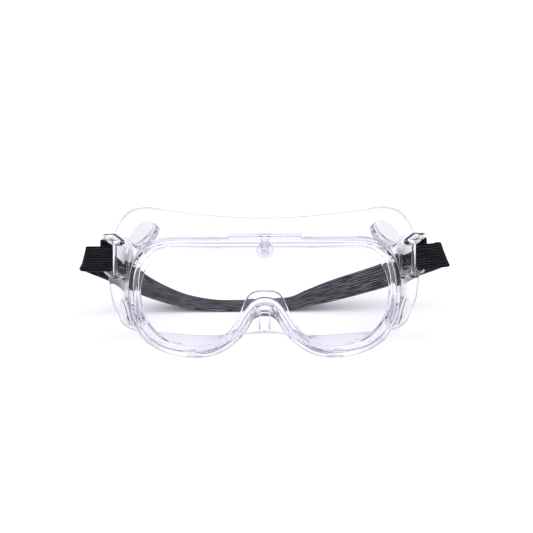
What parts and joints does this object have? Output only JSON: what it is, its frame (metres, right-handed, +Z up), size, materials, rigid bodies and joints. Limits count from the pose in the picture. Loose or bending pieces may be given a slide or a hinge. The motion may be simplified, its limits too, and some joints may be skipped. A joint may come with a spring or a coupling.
{
  "type": "safety goggles",
  "caption": "Clear splash goggles: soft frame with a face flange and strap lugs, flat lens notched for the nose, shielded side vents and a woven elastic headband.",
  "frame": {"origin": "on the surface that the goggles stand on, under the middle of their bounding box", "axes": "+X to the right of someone who faces the lens, -Y out of the lens, +Z up; longest along X"},
  "size_m": [0.2211, 0.0879, 0.0794],
  "materials": {
    "clear_pvc": "soft clear vinyl, injection moulded, glossy",
    "clear_polycarbonate": "clear polycarbonate sheet, polished",
    "stud_plastic": "clear moulded plastic stud, slightly cloudy",
    "white_polyethylene": "translucent white polyethylene, satin",
    "black_webbing": "black elastic webbing with fine lengthwise ribs"
  },
  "bodies": {
    "frame_body": {"frame": "clear_pvc", "lens": "clear_polycarbonate", "lens_stud": "stud_plastic", "vent_housing_upper_right": "white_polyethylene", "vent_housing_upper_left": "white_polyethylene", "vent_housing_lower_right": "white_polyethylene", "vent_housing_lower_left": "white_polyethylene", "vent_cap_upper_right": "white_polyethylene", "vent_cap_upper_left": "white_polyethylene", "vent_cap_lower_right": "white_polyethylene", "vent_cap_lower_left": "white_polyethylene", "strap_end_right": "black_webbing", "strap_end_left": "black_webbing"},
    "strap_body": {"strap_band": "black_webbing"}
  },
  "joints": [
    {"name": "strap_swing", "type": "hinge", "parent": "frame_body", "child": "strap_body", "pos_m": [0, 0.00605, 0.0554], "axis": [1, 0, 0], "range_deg": [0, 100]}
  ]
}
